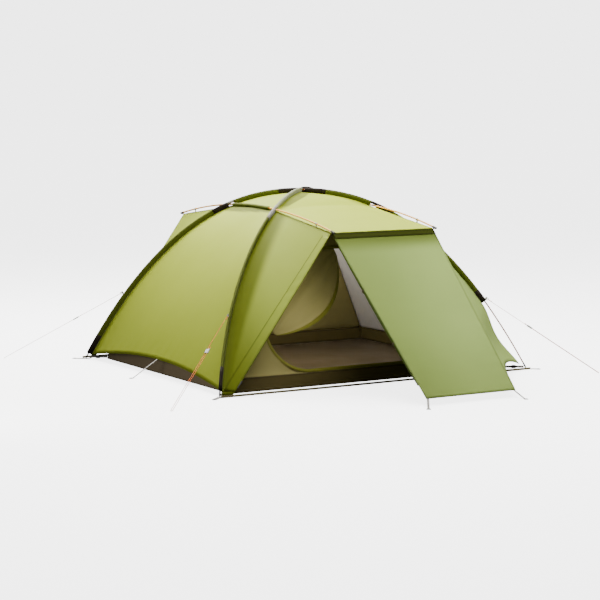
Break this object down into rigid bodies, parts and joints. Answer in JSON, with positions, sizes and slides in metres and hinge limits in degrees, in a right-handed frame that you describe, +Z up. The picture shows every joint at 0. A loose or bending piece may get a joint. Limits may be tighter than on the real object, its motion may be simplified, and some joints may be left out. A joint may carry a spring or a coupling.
{
  "type": "dome tent",
  "caption": "Dome tent pitched on crossed arch poles and ridge poles, with a fly, an open front vestibule, a closed back one, an inner tent with a tub floor and taut guy lines.",
  "frame": {"origin": "middle of the ground plan, on the ground", "axes": "+X from the left end to the right end, +Y from the open front to the back, +Z up"},
  "size_m": [3.2532, 4.158, 1.2628],
  "materials": {
    "pole_alloy": "satin",
    "ferrule_alloy": "satin",
    "dark_plastic": "matte",
    "runner_plastic": "matte",
    "sleeve_cloth": "matte",
    "patch_cloth": "matte",
    "fly_cloth": "matte",
    "zip_tape": "matte",
    "webbing": "matte",
    "eyelet_steel": "satin",
    "inner_cloth": "matte",
    "end_wall_cloth": "matte",
    "floor_cloth": "matte",
    "guy_cord": "matte"
  },
  "bodies": {
    "tent": {"arch_pole_a": "pole_alloy", "arch_pole_b": "pole_alloy", "arch_pole_tips": "dark_plastic", "arch_sleeve_a": "sleeve_cloth", "arch_sleeve_b": "sleeve_cloth", "awning_hems": "sleeve_cloth", "back_door": "fly_cloth", "back_left_side": "fly_cloth", "back_right_side": "fly_cloth", "base_straps": "webbing", "corner_buckles": "dark_plastic", "corner_straps": "webbing", "corner_tabs": "webbing", "door_loops": "webbing", "eyelets": "eyelet_steel", "fly_left_end": "fly_cloth", "fly_right_end": "fly_cloth", "fly_roof_back": "fly_cloth", "fly_roof_front": "fly_cloth", "fly_roof_left": "fly_cloth", "fly_roof_right": "fly_cloth", "fly_zips": "zip_tape", "front_door": "fly_cloth", "front_leaf_roll": "fly_cloth", "front_left_side": "fly_cloth", "front_right_side": "fly_cloth", "guy_line_back_left": "guy_cord", "guy_line_back_right": "guy_cord", "guy_line_front_left": "guy_cord", "guy_line_front_right": "guy_cord", "guy_tabs": "webbing", "hem_ties": "webbing", "inner_back_wall": "inner_cloth", "inner_floor": "floor_cloth", "inner_front_wall": "inner_cloth", "inner_hangers": "webbing", "inner_left_wall": "end_wall_cloth", "inner_right_wall": "end_wall_cloth", "inner_roof": "inner_cloth", "leaf_ties": "webbing", "pole_ferrules": "ferrule_alloy", "ridge_clips": "dark_plastic", "ridge_pole_caps": "dark_plastic", "ridge_poles": "pole_alloy", "ridge_sleeves": "sleeve_cloth", "sleeve_patches": "patch_cloth", "storm_flap": "fly_cloth", "tub_walls": "floor_cloth"},
    "back_leaf": {"back_leaf": "fly_cloth"},
    "inner_door": {"inner_door": "inner_cloth", "inner_door_zip": "zip_tape"},
    "inner_back_door": {"inner_back_door": "inner_cloth"},
    "front_zip_slider": {"front_zip_slider": "dark_plastic"},
    "back_zip_slider": {"back_zip_slider": "dark_plastic"},
    "guy_runner_front_left": {"guy_runner_front_left": "runner_plastic"},
    "guy_runner_front_right": {"guy_runner_front_right": "runner_plastic"},
    "guy_runner_back_left": {"guy_runner_back_left": "runner_plastic"},
    "guy_runner_back_right": {"guy_runner_back_right": "runner_plastic"}
  },
  "joints": [
    {"name": "back_leaf_swing", "type": "hinge", "parent": "tent", "child": "back_leaf", "pos_m": [-0.265, 1.953, 0.044], "axis": [0.1007, 0.6793, -0.7269], "range_deg": [0, 110]},
    {"name": "inner_door_swing", "type": "hinge", "parent": "tent", "child": "inner_door", "pos_m": [-0.52, -0.57692, 0.69714], "axis": [-0.7674, -0.3151, -0.5585], "range_deg": [0, 20]},
    {"name": "inner_back_door_swing", "type": "hinge", "parent": "tent", "child": "inner_back_door", "pos_m": [-0.73, 0.78332, 0.33135], "axis": [0.7674, -0.3151, 0.5585], "range_deg": [0, 15]},
    {"name": "front_zip_slide", "type": "slide", "parent": "tent", "child": "front_zip_slider", "axis": [0.5876, -0.0049, 0.8092], "range_m": [0, 1.038]},
    {"name": "back_zip_slide", "type": "slide", "parent": "tent", "child": "back_zip_slider", "axis": [0.5876, 0.0049, 0.8092], "range_m": [0, 1.038]},
    {"name": "guy_runner_front_left_slide", "type": "slide", "parent": "tent", "child": "guy_runner_front_left", "axis": [-0.6902, -0.5361, -0.486], "range_m": [0, 0.3]},
    {"name": "guy_runner_front_right_slide", "type": "slide", "parent": "tent", "child": "guy_runner_front_right", "axis": [0.523, -0.6807, -0.5128], "range_m": [0, 0.3]},
    {"name": "guy_runner_back_left_slide", "type": "slide", "parent": "tent", "child": "guy_runner_back_left", "axis": [-0.6902, 0.5361, -0.486], "range_m": [0, 0.3]},
    {"name": "guy_runner_back_right_slide", "type": "slide", "parent": "tent", "child": "guy_runner_back_right", "axis": [0.523, 0.6807, -0.5128], "range_m": [0, 0.3]}
  ]
}
